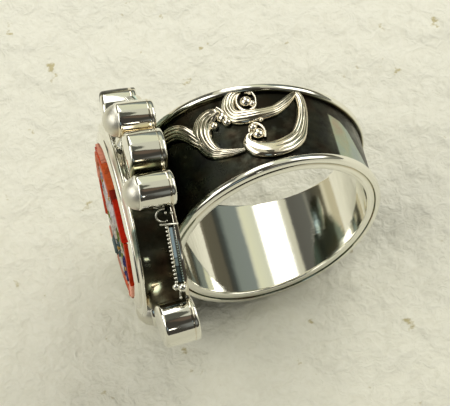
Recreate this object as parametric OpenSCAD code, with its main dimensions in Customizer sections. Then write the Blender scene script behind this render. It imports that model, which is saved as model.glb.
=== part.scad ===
// A silver ring with a tall lobed head that holds an oval micro-mosaic.
// The ring rests as it lies by itself: finger hole along Y, head towards -X,
// mosaic facing -X and a little up, the lowest lobe and the rim wires on the floor.
// The origin is the middle of the bounding box, on the floor. Millimetres.

/* [Band] */
// Inner radius of the finger hole
bore_r = 8.5; // [8.3:0.05:8.8]
// Outer radius of the two rim wires
rim_r = 9.93; // [9.8:0.01:10]
// Radius of the blackened channel's floor
channel_r = 9.4; // [9.3:0.02:9.5]
// Width of the band halfway round, between head and back
band_w = 9.1; // [8.6:0.1:9.6]
// Width that the band gains at the head, and loses at the back
band_taper = 2.5; // [2:0.1:2.8]
// Width of each rim wire along the band
rim_w = 0.8; // [0.7:0.05:0.9]

/* [Head] */
// Distance from the ring's axis to the back of the head
back_d = 8.95; // [8.9:0.01:9]
// Height of the head's walls, from its back to the flat lobes' fronts
wall_h = 3.05; // [2.9:0.05:3.2]
// Half the length of the back plate, along the finger
plate_a = 11; // [10.8:0.1:11.2]
// Half the height of the back plate, across the finger
plate_b = 9.3; // [9.2:0.1:9.4]
// How far each lobe leans outwards, in degrees
lobe_lean = 5; // [4:0.5:6]
// Radius of the domed lobes
dome_r = 1.6; // [1.5:0.05:1.7]
// Rise of a dome above the flat lobes
dome_rise = 1.15; // [1:0.05:1.3]

/* [Mosaic] */
// Half the length of the mosaic, along the finger
mosaic_a = 7.45; // [7.3:0.05:7.6]
// Half the height of the mosaic, across the finger
mosaic_b = 5.4; // [5.3:0.05:5.5]
// Distance from the ring's axis to the mosaic's ground
mosaic_d = 13.2; // [13.15:0.05:13.25]
// Number of rods in the orange border
border_rods = 8; // [8:1:9]
// Width of the border's rods
border_w = 1.15; // [1:0.05:1.2]

/* [Hidden] */
$fn = 64;

gap = 0.02;
groove_r = 9.12;
rim_round = 0.28;

// The rims lie in two planes that spread towards the head
rim_tilt = atan(band_taper / 2 / rim_r);
rim_y = band_w / 2;

// Sizes of the head, as distances from the ring's axis
plate_h = 0.35;
wall_from = back_d + plate_h + gap;
side_h = wall_h - 0.35;
crown_d = 13.1;
bezel_d = 13;
wall_a = 9.2;
wall_b = 7.7;
drum_a = 8.8;
drum_b = 7.1;
under_d = 11.9;
crown_r = 60;
bezel_a = mosaic_a + 1.2;
bezel_b = mosaic_b + 0.45;
bezel_fit = 0.1;
seat_d = bezel_d - 1;
bed_drop = 0.15;
lobe_round = 0.35;

// Lobes: place along the finger, place up the head, radius, whether domed, height.
// The two ends differ a little, and the lower domes are shorter, as it was made by hand.
LOBE_A = 0;
LOBE_B = 1;
LOBE_R = 2;
LOBE_DOMED = 3;
LOBE_H = 4;
side_lobe_b = 8.9;
side_lobe_r = 2.1;
dome_at = [3.8, 8.9];
end_lobe_a = [-11.15, 11.4];
end_lobe_r = 2;
end_drop = [0.1, 0.15];
low_dome_drop = 0.7;
neck_part = 0.3;
neck_drop = 0.5;
lobes = [
    for (s = [-1, 1]) [0, s * side_lobe_b, side_lobe_r, false, side_h],
    for (i = [0, 1]) [end_lobe_a[i], 0, end_lobe_r, false, wall_h - end_drop[i]],
    for (s = [-1, 1], t = [-1, 1])
        [s * dome_at[0], t * dome_at[1], dome_r, true, wall_h - (t < 0 ? low_dome_drop : 0)]
];

// The ring rests on the back edge of its lowest lobe and on the rim wires
low_b = side_lobe_b + side_lobe_r;
rest_tilt = atan2(low_b, back_d) - asin(rim_r / norm([back_d, low_b]));

// The frontmost point is the lowest corner of the border's rods, and the rims end the other way
border_d = mosaic_d + 0.22;
border_turn = 8;
low_corner = max([for (i = [1 : border_rods]) -sin(border_turn + 360 * i / border_rods)]);
front_reach = border_d * cos(rest_tilt) + mosaic_b * low_corner * sin(rest_tilt);
back_reach = rim_r * cos(rim_tilt) - rim_round * sin(rim_tilt);
centre_x = (front_reach - back_reach) / 2;
centre_y = (end_lobe_a[0] + end_lobe_a[1]) / 2;

// Turns the head's own axes, with z out of the mosaic, x along the finger
// towards the near side and y up, to where the head sits on the ring
module on_head() {
    on_ring() rotate([90, 0, -90]) children();
}

// Sets the ring down on the floor as it rests
module on_ring() {
    translate([centre_x, centre_y, rim_r]) rotate([0, rest_tilt, 0]) children();
}

// An oval of four arcs, half axes a and b, with end arcs of radius e
function side_arc_r(a, b, e) = ((a - e) * (a - e) + b * b - e * e) / (2 * (b - e));

module oval(a, b) {
    e = 0.93 * b * b / a;
    big = side_arc_r(a, b, e);
    reach = (a - e) * big / (big - e);
    intersection() {
        translate([0, b - big]) circle(r = big, $fn = 128);
        translate([0, big - b]) circle(r = big, $fn = 128);
        square([2 * reach, 2 * b + 1], center = true);
    }
    for (s = [-1, 1]) translate([s * (a - e), 0]) circle(r = e);
}

module ellipse(a, b) {
    scale([a / b, 1]) circle(r = b, $fn = 96);
}

// The shape between the band's two slanting edge planes, drawn in by inset
module between_rims(inset) {
    big = 40;
    difference() {
        cube(big, center = true);
        for (s = [-1, 1])
            translate([0, s * (rim_y - inset), 0]) rotate([0, 0, -s * rim_tilt])
                translate([-big, s > 0 ? 0 : -big, -big]) cube([2 * big, big, 2 * big]);
    }
}

// Cuts what would reach past the head's back
module clear_of_head() {
    difference() {
        children();
        translate([-20 - back_d + gap, -15, -15]) cube([20, 30, 30]);
    }
}

module shank() {
    color("#b9b6ae") on_ring() clear_of_head() difference() {
        union() {
            intersection() {
                rotate([90, 0, 0]) cylinder(r = groove_r - gap, h = 20, center = true);
                between_rims(0);
            }
            intersection() {
                rotate([90, 0, 0]) cylinder(r = channel_r, h = 20, center = true);
                between_rims(rim_w + gap);
            }
        }
        rotate([90, 0, 0]) cylinder(r = bore_r, h = 30, center = true, $fn = 128);
    }
}

// A rim wire in its slanting plane: flat on the outer side, rounded over the top
module rim_wire(s) {
    color("#d8d6d0") on_ring() clear_of_head()
        translate([0, s * rim_y, 0]) rotate([0, 0, -s * rim_tilt]) rotate([90, 0, 0])
            rotate_extrude($fn = 128)
                translate([0, s > 0 ? 0 : -rim_w]) rim_section();
}

module rim_section() {
    inner = groove_r + 0.22;
    square_to = rim_r - rim_round;
    translate([inner, 0]) square([square_to - inner, rim_w]);
    translate([inner, rim_round]) square([rim_r - inner, rim_w - 2 * rim_round]);
    for (y = [rim_round, rim_w - rim_round])
        translate([square_to, y]) circle(r = rim_round, $fn = 24);
}

module rim_wire_near() rim_wire(-1);
module rim_wire_far() rim_wire(1);

// Scroll strokes as rows of: angle round the band, place towards the near rim, width
stem = [
    [152, -3.4, 1], [146, -3.75, 1.2], [140, -3.75, 1.35], [134, -3.2, 1.3], [129.5, -2.2, 1.2],
    [125.5, -1, 1.1], [122, -0.2, 0.8]
];
left_scroll = [
    [105, -2.3, 0.5], [109, -3, 0.8], [114, -3.05, 1.2], [119, -2.5, 1.6], [121.5, -1.3, 1.7],
    [120.5, 0, 1.4], [115.5, 1.2, 1.1], [108, 1.7, 0.75], [100, 1.8, 0.4]
];
top_scroll = [
    [91.5, -3.5, 0.4], [95, -4.1, 0.7], [99, -3.95, 0.9], [101.5, -3.2, 1.05], [100.5, -2.2, 1.05],
    [96, -1.6, 1], [89, -1.45, 0.9], [81, -1.8, 0.8], [73, -2.55, 0.6], [65.5, -3.5, 0.25]
];
right_scroll = [
    [67, -3.4, 0.3], [64.8, -2.4, 0.6], [64.6, -1.1, 0.9], [67.5, 0.2, 1.15], [72.5, 1.4, 1.35],
    [79, 2.3, 1.45], [86.5, 2.7, 1.45], [93.5, 2.5, 1.3], [98, 1.7, 1], [97, 0.8, 0.6]
];
STROKE_ANG = 0;
STROKE_Y = 1;
STROKE_W = 2;
// Small balls in the scrolls: angle, place towards the near rim, radius
scroll_balls = [[95.5, -3, 0.6], [93.2, 0.5, 0.6], [108.8, -2.1, 0.42]];
BALL_R = 2;
stroke_base = channel_r + 0.06;
relief = rim_r - 0.02 - stroke_base;
stroke_steps = 2;
// The stem is drawn square on to the band at one angle, and the scrolls at another
stem_look = 137;
scroll_look = 93;

// A smooth value between rows of a stroke, at u counted in rows
function row_mix(rows, u, col) =
    let (n = len(rows) - 1, i = min(floor(u), n - 1), t = u - i,
         p0 = rows[max(i - 1, 0)][col], p1 = rows[i][col],
         p2 = rows[i + 1][col], p3 = rows[min(i + 2, n)][col])
    p1 + t * (p2 - p0) / 2 + t * t * (p0 - 2.5 * p1 + 2 * p2 - p3 / 2)
       + t * t * t * (1.5 * (p1 - p2) + (p3 - p0) / 2);

// Keeps a place on the band clear of the rims
function off_rims(ang, near) =
    let (room = rim_y - rim_w - 0.08 - rim_r * cos(ang) * tan(rim_tilt))
    min(max(near, -room), room);

// A point on one side of a stroke, drawn flat as seen from the angle look
function stroke_edge(rows, u, side, look) =
    let (e = 0.02, n = len(rows) - 1, u0 = max(u - e, 0), u1 = min(u + e, n),
         turn = (row_mix(rows, u1, STROKE_ANG) - row_mix(rows, u0, STROKE_ANG)) * PI / 180 * rim_r,
         along = row_mix(rows, u1, STROKE_Y) - row_mix(rows, u0, STROKE_Y),
         half = side * row_mix(rows, u, STROKE_W) / 2 / norm([along, turn]),
         ang = row_mix(rows, u, STROKE_ANG) + half * along / rim_r * 180 / PI,
         near = row_mix(rows, u, STROKE_Y) - half * turn)
    [rim_r * sin(look - ang), -off_rims(ang, near)];

module stroke(rows, look) {
    steps = (len(rows) - 1) * stroke_steps;
    polygon(concat([for (i = [0 : steps]) stroke_edge(rows, i / stroke_steps, 1, look)],
                   [for (i = [steps : -1 : 0]) stroke_edge(rows, i / stroke_steps, -1, look)]));
}

// Raises a flat drawing, seen from the angle look, off the band's channel
module raised(look, flip) {
    intersection() {
        rotate([90, 0, 0]) difference() {
            cylinder(r = stroke_base + relief, h = 14, center = true, $fn = 128);
            cylinder(r = stroke_base, h = 15, center = true, $fn = 128);
        }
        rotate([0, 90 - flip * look, 0]) linear_extrude(12) scale([flip, 1]) children();
    }
}

module scroll(flip) {
    color("#c9c7c0") on_ring() {
        raised(stem_look, flip) stroke(stem, stem_look);
        for (rows = [left_scroll, top_scroll, right_scroll])
            raised(scroll_look, flip) stroke(rows, scroll_look);
        for (b = scroll_balls)
            raised(scroll_look, flip)
                translate([rim_r * sin(scroll_look - b[STROKE_ANG]), -b[STROKE_Y]]) circle(r = b[BALL_R], $fn = 24);
    }
}

module scroll_upper() scroll(1);
module scroll_lower() scroll(-1);

// A lobe of the head: a leaning post, with a flat front or a domed one
module lobe(l) {
    out = norm([l[LOBE_A], l[LOBE_B]]);
    r = l[LOBE_R];
    translate([l[LOBE_A], l[LOBE_B], back_d])
        rotate(lobe_lean, [-l[LOBE_B], l[LOBE_A], 0] / out) {
            if (l[LOBE_DOMED]) domed_post(r, l[LOBE_H]);
            else flat_post(r, l[LOBE_H]);
        }
}

// Half the outline of a spherical cap of radius r at its foot and height h
module cap(r, h) {
    cap_r = (r * r + h * h) / (2 * h);
    intersection() {
        square([r, h]);
        translate([0, h - cap_r]) circle(r = cap_r);
    }
}

module domed_post(r, h) {
    rotate_extrude() {
        square([r, h]);
        translate([0, h]) cap(r, dome_rise);
    }
}

module flat_post(r, h) {
    rotate_extrude() {
        square([r, h - lobe_round]);
        square([r - lobe_round, h]);
        translate([r - lobe_round, h - lobe_round]) circle(r = lobe_round, $fn = 24);
    }
}

// The recessed drum, and the front that overhangs it and falls away towards its edge
module gallery() {
    translate([0, 0, back_d]) linear_extrude(under_d - back_d + 0.1) oval(drum_a, drum_b);
    intersection() {
        translate([0, 0, under_d]) linear_extrude(crown_d - under_d) oval(wall_a, wall_b);
        translate([0, 0, crown_d - crown_r]) sphere(r = crown_r, $fn = 128);
    }
}

// A straight neck that ties a lobe to the drum
module neck(l) {
    long = neck_part * norm([l[LOBE_A], l[LOBE_B]]);
    wide = 1.5 * l[LOBE_R];
    translate([l[LOBE_A], l[LOBE_B], back_d]) rotate(atan2(l[LOBE_B], l[LOBE_A]))
        translate([-long, -wide / 2, 0]) cube([long, wide, l[LOBE_H] - neck_drop]);
}

module head_frame() {
    color("#c4c2bb") on_head() difference() {
        union() {
            for (l = lobes) lobe(l);
            for (l = lobes) neck(l);
            gallery();
        }
        translate([-20, -20, 0]) cube([40, 40, wall_from]);
        translate([0, 0, seat_d]) linear_extrude(3) ellipse(bezel_a + gap, bezel_b + gap);
    }
}

// The plate has the outline of the whole head
module back_plate() {
    color("#d0cec7") on_head() translate([0, 0, back_d]) linear_extrude(plate_h) {
        oval(plate_a, plate_b);
        for (l = lobes) translate([l[LOBE_A], l[LOBE_B]]) circle(r = l[LOBE_R]);
    }
}

// Bars on the four diagonals, on the plate's edge
bar_at = [8.05, 5.2];
bar_l = 4.6;
bar_w = 0.75;
bar_h = 0.62;
bar_ball_r = 0.36;
bar_signs = [[1, 1], [-1, 1], [-1, -1], [1, -1]];

module beaded_bar(i) {
    s = bar_signs[i - 1];
    color("#cfcdc6") on_head() {
        translate([s[0] * bar_at[0], s[1] * bar_at[1], back_d + plate_h + gap]) rotate(-45 * s[0] * s[1]) {
            translate([-bar_l / 2, -bar_w / 2, 0]) cube([bar_l, bar_w, bar_h]);
            for (e = [-1, 1]) translate([e * bar_l / 2, s[1] * 0.3, bar_ball_r]) sphere(r = bar_ball_r, $fn = 24);
        }
    }
}

module beaded_bar_1() beaded_bar(1);
module beaded_bar_2() beaded_bar(2);
module beaded_bar_3() beaded_bar(3);
module beaded_bar_4() beaded_bar(4);

// The oval lip round the mosaic
module bezel() {
    color("#dcdad3") on_head() translate([0, 0, seat_d + gap]) difference() {
        linear_extrude(bezel_d - seat_d - gap) ellipse(bezel_a, bezel_b);
        translate([0, 0, -1]) linear_extrude(3) ellipse(mosaic_a + bezel_fit, mosaic_b + bezel_fit);
    }
}

module mosaic_bed() {
    color("#8c8378") on_head() translate([0, 0, seat_d + gap])
        linear_extrude(mosaic_d - bed_drop - seat_d - gap)
            ellipse(mosaic_a + bezel_fit - gap, mosaic_b + bezel_fit - gap);
}

// Tesserae stand on the bed, a hair clear of it
tess_from = mosaic_d - bed_drop + gap;
tess_gap = 0.11;

function oval_point(t, inset) = [(mosaic_a - inset) * cos(t), (mosaic_b - inset) * sin(t)];

// One straight rod of the border, between two places on the oval
module border_rod(i) {
    t0 = border_turn + 360 * i / border_rods;
    t1 = border_turn + 360 * (i + 1) / border_rods;
    p = [oval_point(t0, 0), oval_point(t1, 0), oval_point(t1, border_w), oval_point(t0, border_w)];
    dir = (p[1] - p[0]) / norm(p[1] - p[0]);
    cut = dir * tess_gap / 2;
    translate([0, 0, tess_from]) linear_extrude(border_d - tess_from)
        polygon([p[0] + cut, p[1] - cut, p[2] - cut, p[3] + cut]);
}

module mosaic_border() {
    color("#e0401c") on_head() for (i = [0 : border_rods - 1]) border_rod(i);
}

// Flowers: place along the finger, place up, petals, reach, petal width, colour
flowers = [
    [-2, 0.5, 8, 2.05, 1.05, "#d9d4de"],
    [3.6, -1.5, 6, 1.25, 0.8, "#2c2a6b"],
    [3.7, 1.6, 6, 0.95, 0.6, "#5d7686"],
    [-4.8, -0.9, 5, 0.75, 0.5, "#5d7686"]
];
// Leaves: place, place up, turn, length, width
leaves = [
    [1.15, 0.4, 80, 1.4, 0.6], [0.75, -2.4, -50, 1.4, 0.6], [0.9, 2.7, 40, 1.3, 0.6],
    [-4.5, 1.75, 130, 1.1, 0.5], [5.3, 0.2, 90, 1, 0.45], [-3, -2.6, 200, 1.2, 0.5]
];

module petal(f) {
    reach = f[3];
    w = min(f[4], petal_room(f));
    inner = 0.42;
    foot = min(w * 0.22, inner * tan(180 / f[2]) - 0.07);
    translate([0, 0, tess_from]) linear_extrude(mosaic_d + 0.1 - tess_from)
        polygon([[inner, -foot], [reach * 0.75, -w / 2], [reach, -w * 0.25],
                 [reach, w * 0.25], [reach * 0.75, w / 2], [inner, foot]]);
}

module flower(f) {
    centre_r = 0.3;
    translate([f[0], f[1], 0]) {
        color(f[5]) for (k = [0 : f[2] - 1]) rotate(360 * k / f[2] + 10) petal(f);
        color("#e3b21c") translate([0, 0, tess_from]) cylinder(r = centre_r, h = mosaic_d + 0.15 - tess_from, $fn = 16);
    }
}

// The widest a petal may be, with a gap to its neighbours
function petal_room(f) = 2 * (f[3] * 0.75 * sin(180 / f[2]) - tess_gap / 2 / cos(180 / f[2])) * 0.92;

module leaf(l) {
    color("#5c8a3a") translate([l[0], l[1], tess_from]) rotate(l[2])
        linear_extrude(mosaic_d + 0.08 - tess_from)
            polygon([[-l[3] / 2, 0], [0, -l[4] / 2], [l[3] / 2, 0], [0, l[4] / 2]]);
}

// Pale ground tiles on a grid, where no flower, leaf or border is
tile = [0.44, 0.44];
tile_reach = norm(tile) / 2 + tess_gap;

function clear_of_flowers(p) =
    min([for (f = flowers) norm(p - [f[0], f[1]]) - f[3]]) > tile_reach
    && min([for (l = leaves) norm(p - [l[0], l[1]]) - l[3] / 2]) > tile_reach;

// How far p lies inside the border's inner corners q0 and q1
function inside_rod(p, q0, q1) =
    ((q1[0] - q0[0]) * (p[1] - q0[1]) - (q1[1] - q0[1]) * (p[0] - q0[0])) / norm(q1 - q0);

function inner_corner(i) = oval_point(border_turn + 360 * i / border_rods, border_w);

function inside_border(p) =
    min([for (i = [0 : border_rods - 1]) inside_rod(p, inner_corner(i), inner_corner(i + 1))]) > tile_reach;

module ground() {
    color("#cfc8cc") for (i = [-12 : 12], j = [-8 : 8]) {
        p = [(i + 0.5 * abs(j % 2)) * (tile[0] + tess_gap), j * (tile[1] + tess_gap)];
        if (inside_border(p) && clear_of_flowers(p))
            translate([p[0] - tile[0] / 2, p[1] - tile[1] / 2, tess_from])
                cube([tile[0], tile[1], mosaic_d - tess_from]);
    }
}

module mosaic_field() {
    on_head() {
        for (f = flowers) flower(f);
        for (l = leaves) leaf(l);
        ground();
    }
}

shank();
rim_wire_near();
rim_wire_far();
scroll_upper();
scroll_lower();
head_frame();
back_plate();
beaded_bar_1();
beaded_bar_2();
beaded_bar_3();
beaded_bar_4();
bezel();
mosaic_bed();
mosaic_border();
mosaic_field();
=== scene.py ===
# A silver ring with scroll ornament on its band and a lobed head that holds a micro-mosaic.
# All sizes in the tables are millimetres in the ring's own axes: x away from the head,
# y along the finger, z up, before the ring is laid down at its resting tilt.
import math
import random
from math import cos, pi, radians, sin

import bpy
import numpy as np
from mathutils import Matrix, Vector


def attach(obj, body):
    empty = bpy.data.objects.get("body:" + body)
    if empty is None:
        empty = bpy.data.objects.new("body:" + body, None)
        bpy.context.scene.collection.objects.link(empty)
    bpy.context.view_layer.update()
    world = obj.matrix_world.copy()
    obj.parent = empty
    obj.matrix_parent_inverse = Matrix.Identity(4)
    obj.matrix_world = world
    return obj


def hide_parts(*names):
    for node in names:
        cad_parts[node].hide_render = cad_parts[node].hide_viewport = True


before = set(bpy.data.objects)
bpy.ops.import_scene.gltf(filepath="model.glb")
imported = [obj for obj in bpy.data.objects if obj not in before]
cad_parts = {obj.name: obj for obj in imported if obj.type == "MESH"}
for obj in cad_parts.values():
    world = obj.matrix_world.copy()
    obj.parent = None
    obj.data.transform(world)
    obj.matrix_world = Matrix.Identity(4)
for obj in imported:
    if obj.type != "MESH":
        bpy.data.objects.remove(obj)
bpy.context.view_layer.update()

MM = 0.001
# how far the ring is turned where it rests, and where its axis lies in the part's frame
TILT = radians(6.4215)
CENTRE = (2.0583, 0.125, 9.93)

# Band, as radii from the ring's axis
BORE_R = 8.5
SLEEVE_R = 9.1
CHANNEL_R = 9.4
RIM_R = 9.93
RIM_IN_R = 9.34
# width of a rim wire, half the band's width at the finger's middle, and the slant of its edges
RIM_W = 0.8
HALF_BAND = 4.55
RIM_TILT = math.atan(1.25 / RIM_R)
# where the band ends behind the head, and how finely it is divided round and across
HEAD_CUT = 8.92
ROUND_STEPS = 360
ACROSS_STEPS = 60

# Head, as distances from the ring's axis
BACK_D = 8.95
UNDER_D = 12.35
BEZEL_FROM = 12.1
BEZEL_D = 13.0
MOSAIC_D = 13.2
# thickness of the back plate, and half the mosaic's length and height
PLATE_H = 0.35
MOSAIC_A = 7.45
MOSAIC_B = 5.4


# Placing and making meshes

def ring_to_part(points):
    """Points in the ring's axes in mm as points in the part's frame in metres."""
    p = np.asarray(points, float)
    c, s = cos(TILT), sin(TILT)
    x = p[:, 0] * c + p[:, 2] * s + CENTRE[0]
    z = -p[:, 0] * s + p[:, 2] * c + CENTRE[2]
    return np.stack([x, p[:, 1] + CENTRE[1], z], 1) * MM


def head_to_ring(points):
    """Points as (towards the near side, up the head, out of the mosaic) in the ring's axes."""
    p = np.asarray(points, float)
    return np.stack([-p[:, 2], -p[:, 0], p[:, 1]], 1)


def around(steps):
    """Cosine and sine of evenly spaced angles round a circle."""
    turns = [2 * pi * i / steps for i in range(steps)]
    return [(cos(t), sin(t)) for t in turns]


def new_object(name, data):
    made = bpy.data.objects.new(name, data)
    bpy.context.scene.collection.objects.link(made)
    return made


def make_piece(name, node_name, shape, material, sharp=35, tarnish_and_painted_light=0.0, satin=0.0, brown=0.0):
    """A smooth piece that stands for a node; each paint is one value or one for each point."""
    mesh = bpy.data.meshes.new(name)
    mesh.from_pydata([tuple(v) for v in ring_to_part(shape.points)], [], shape.faces)
    mesh.polygons.foreach_set("use_smooth", [True] * len(mesh.polygons))
    mesh.set_sharp_from_angle(angle=radians(sharp))
    for key, values in (("tarnish_and_painted_light", tarnish_and_painted_light), ("satin", satin), ("brown", brown)):
        painted = mesh.attributes.new(key, "FLOAT", "POINT")
        painted.data.foreach_set("value", np.full(len(shape.points), values, np.float32))
    mesh.materials.append(material)
    piece = new_object(name, mesh)
    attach(piece, "root")
    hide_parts(node_name)
    return piece


class Shape:
    """The points, their tints and the faces of several forms, for one mesh."""

    def __init__(self):
        self.points = []
        self.faces = []
        self.tints = []

    def add(self, points, faces):
        start = len(self.points)
        self.points.extend(tuple(p) for p in points)
        self.faces.extend(tuple(start + i for i in f) for f in faces)

    def placed(self, start=0):
        return np.array(self.points[start:])

    def grid(self, rows, close_rows=False, close_cols=True, caps=False):
        """Faces between rows of points, each row one section; caps close the first and the last."""
        n, m = len(rows), len(rows[0])
        faces = []
        for i in range(n if close_rows else n - 1):
            for k in range(m if close_cols else m - 1):
                below, next_k = (i + 1) % n, (k + 1) % m
                faces.append((i * m + k, i * m + next_k, below * m + next_k, below * m + k))
        if caps:
            faces.append(tuple(range(m - 1, -1, -1)))
            faces.append(tuple((n - 1) * m + k for k in range(m)))
        self.add([p for r in rows for p in r], faces)


# Materials

def join(tree, value, socket):
    """Sets a socket to a value, or links it to another node's output."""
    if isinstance(value, bpy.types.NodeSocket):
        tree.links.new(value, socket)
    else:
        socket.default_value = value


def add_node(tree, kind, settings=None, **values):
    made = tree.nodes.new(kind)
    for key, value in (settings or {}).items():
        setattr(made, key, value)
    for key, value in values.items():
        join(tree, value, made.inputs[key.replace("_", " ")])
    return made


def object_place(tree):
    return add_node(tree, "ShaderNodeTexCoord").outputs["Object"]


def mesh_paint(tree, name, output="Fac"):
    """What is painted on the mesh under this name."""
    return add_node(tree, "ShaderNodeAttribute", {"attribute_name": name}).outputs[output]


def noise(tree, place, scale, detail, **more):
    made = add_node(tree, "ShaderNodeTexNoise", Vector=place, Scale=scale, Detail=detail, **more)
    return made.outputs["Fac"]


def ramp(tree, value, stops):
    """The colour at a value, from stops as (value, colour)."""
    made = add_node(tree, "ShaderNodeValToRGB", Fac=value)
    line = made.color_ramp
    line.elements.remove(line.elements[-1])
    for i, (place, colour) in enumerate(stops):
        stop = line.elements[0] if i == 0 else line.elements.new(place)
        stop.position = place
        stop.color = (*colour, 1)
    return made.outputs["Color"]


def math_node(tree, operation, *values, kind="ShaderNodeMath", **settings):
    made = add_node(tree, kind, {"operation": operation, **settings})
    for value, socket in zip(values, made.inputs):
        join(tree, value, socket)
    return made.outputs[0]


def map_range(tree, value, start, end, low=0.0, high=1.0, **settings):
    made = add_node(tree, "ShaderNodeMapRange", settings, Value=value, From_Min=start, From_Max=end,
                    To_Min=low, To_Max=high)
    return made.outputs["Result"]


def mix(tree, under, over, factor, blend="MIX"):
    settings = {"data_type": "RGBA", "blend_type": blend}
    return add_node(tree, "ShaderNodeMix", settings, Factor=factor, A=under, B=over).outputs["Result"]


def bump(tree, height, strength, distance, under=None):
    """A normal from a height, laid over another normal if one is given."""
    made = add_node(tree, "ShaderNodeBump", Height=height, Strength=strength, Distance=distance)
    if under is not None:
        tree.links.new(under, made.inputs["Normal"])
    return made.outputs["Normal"]


def new_material(name):
    material = bpy.data.materials.new(name)
    material.use_nodes = True
    return material, material.node_tree


def dress(tree, **values):
    """Sets or links the inputs of a material's shader."""
    for key, value in values.items():
        join(tree, value, tree.nodes["Principled BSDF"].inputs[key.replace("_", " ")])


def silver_finish():
    """Silver from bright to blackened: Tarnish 0 is polished, 0.6 gunmetal, 1 black; in places this input
    carries painted highlights, painted light and painted reflections.
    """
    group = bpy.data.node_groups.new("silver_finish", "ShaderNodeTree")
    sockets = [(name, "INPUT", "Float") for name in ("Tarnish", "Dullness", "Brushed", "Warmth")]
    sockets += [("Color", "OUTPUT", "Color"), ("Roughness", "OUTPUT", "Float"),
                ("Normal", "OUTPUT", "Vector")]
    for name, way, kind in sockets:
        group.interface.new_socket(name=name, in_out=way, socket_type="NodeSocket" + kind)
    given = add_node(group, "NodeGroupInput").outputs
    place = object_place(group)

    # the tarnish is uneven, but not where the silver is bright
    patches = noise(group, place, 650.0, 5.0, Roughness=0.6)
    uneven = math_node(group, "MULTIPLY_ADD", patches, 0.35, -0.175)
    part = math_node(group, "MULTIPLY", uneven, map_range(group, given["Tarnish"], 0.0, 0.25))
    level = math_node(group, "ADD", given["Tarnish"], part, use_clamp=True)

    tone = ramp(group, level, [(0.0, (0.88, 0.87, 0.8)), (0.3, (0.6, 0.57, 0.48)), (0.6, (0.36, 0.41, 0.38)),
                               (0.8, (0.14, 0.14, 0.12)), (1.0, (0.02, 0.017, 0.013))])
    # strong tarnish turns rosy, yellow, green and blue in patches
    hue = ramp(group, noise(group, place, 420.0, 3.0), [
        (0.3, (1.0, 0.78, 0.7)), (0.42, (1.0, 0.96, 0.84)), (0.52, (0.88, 1.0, 0.94)),
        (0.66, (0.82, 0.94, 1.08))])
    tint = mix(group, tone, hue, map_range(group, given["Tarnish"], 0.3, 0.55), "MULTIPLY")
    colour = mix(group, tint, (1.0, 0.84, 0.62, 1), given["Warmth"], "MULTIPLY")

    smooth = ramp(group, level, [(0.0, (0.03,) * 3), (0.6, (0.06,) * 3), (0.85, (0.2,) * 3),
                                 (1.0, (0.38,) * 3)])
    grain = noise(group, place, 5200.0, 4.0)
    haze = math_node(group, "MULTIPLY_ADD", grain, 0.05, smooth)

    normal = bump(group, noise(group, place, 900.0, 2.0), 0.25, 0.00002)
    normal = bump(group, grain, 0.12, 0.000004, normal)
    stretched = math_node(group, "MULTIPLY", place, (60, 5200, 60), kind="ShaderNodeVectorMath")
    lines = noise(group, stretched, 1.0, 4.0, Roughness=0.7)
    normal = bump(group, lines, given["Brushed"], 0.00001, normal)

    add_node(group, "NodeGroupOutput", Color=colour, Normal=normal,
             Roughness=math_node(group, "ADD", haze, given["Dullness"]))
    return group


SILVER_FINISH = silver_finish()


def silver(name, dullness=0.0, brushed=0.0, warmth=0.0):
    """Silver whose tarnish, satin and brown are painted on the mesh as attributes; besides the real patina
    and stain, in places they carry painted highlights, light and reflections.
    """
    material, tree = new_material(name)
    dull = math_node(tree, "ADD", mesh_paint(tree, "satin"), dullness)
    warm = math_node(tree, "ADD", mesh_paint(tree, "brown"), warmth, use_clamp=True)
    made = add_node(tree, "ShaderNodeGroup", {"node_tree": SILVER_FINISH}, Dullness=dull, Warmth=warm,
                    Tarnish=mesh_paint(tree, "tarnish_and_painted_light"), Brushed=brushed).outputs
    dress(tree, Base_Color=made["Color"], Roughness=made["Roughness"], Normal=made["Normal"], Metallic=1)
    return material


POLISHED = silver("polished_silver")
CAST = silver("cast_silver", 0.05, 0.0, 0.4)
BLACKENED = silver("blackened_silver", 0.02, 0.0, 0.3)
BRUSHED = silver("brushed_silver", 0.0, 0.35)
STAINED = silver("stained_silver", 0.04)


def glass_finish():
    """Opaque enamel glass: the tessera's own shade, faint streaks, a broken uneven face."""
    material, tree = new_material("mosaic_glass")
    place = object_place(tree)
    streaks = noise(tree, place, 2600.0, 4.0, Distortion=0.6)
    level = ramp(tree, streaks, [(0.3, (0.62, 0.6, 0.58)), (0.5, (1, 1, 1)), (0.7, (1.12, 1.2, 1.25))])
    dress(tree, Base_Color=mix(tree, mesh_paint(tree, "tint", "Color"), level, 1.0, "MULTIPLY"),
          Roughness=map_range(tree, streaks, 0.0, 1.0, 0.3, 0.6),
          Normal=bump(tree, noise(tree, place, 1500.0, 5.0), 0.5, 0.00004), Specular_IOR_Level=0.05)
    return material


def cement_finish():
    """Dark gritty cement between the tesserae."""
    material, tree = new_material("mosaic_cement")
    grit = noise(tree, object_place(tree), 7000.0, 6.0)
    dress(tree, Base_Color=ramp(tree, grit, [(0.3, (0.05, 0.04, 0.03)), (0.7, (0.2, 0.17, 0.14))]),
          Normal=bump(tree, grit, 0.6, 0.00003), Roughness=0.85)
    return material


GLASS = glass_finish()
CEMENT = cement_finish()


# Band

def half_band(x, inset):
    return HALF_BAND - inset / cos(RIM_TILT) - x * math.tan(RIM_TILT)


def ease(value, start, end):
    """0 before start, 1 after end, smooth between; end may be below start."""
    t = np.clip((np.asarray(value, float) - start) / (end - start), 0, 1)
    return t * t * (3 - 2 * t)


def sleeve_groove(p):
    """1 in the groove beside the rims, 0 on the rest of the sleeve."""
    return ease(np.hypot(p[:, 0], p[:, 2]), SLEEVE_R, SLEEVE_R + 0.1)


def sleeve_tarnish(p):
    """Bright inside, dark in the groove and less so near the head."""
    return (0.8 - 0.3 * ease(p[:, 0], 0, -6) * ease(p[:, 2], -5, 1)) * sleeve_groove(p)


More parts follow.
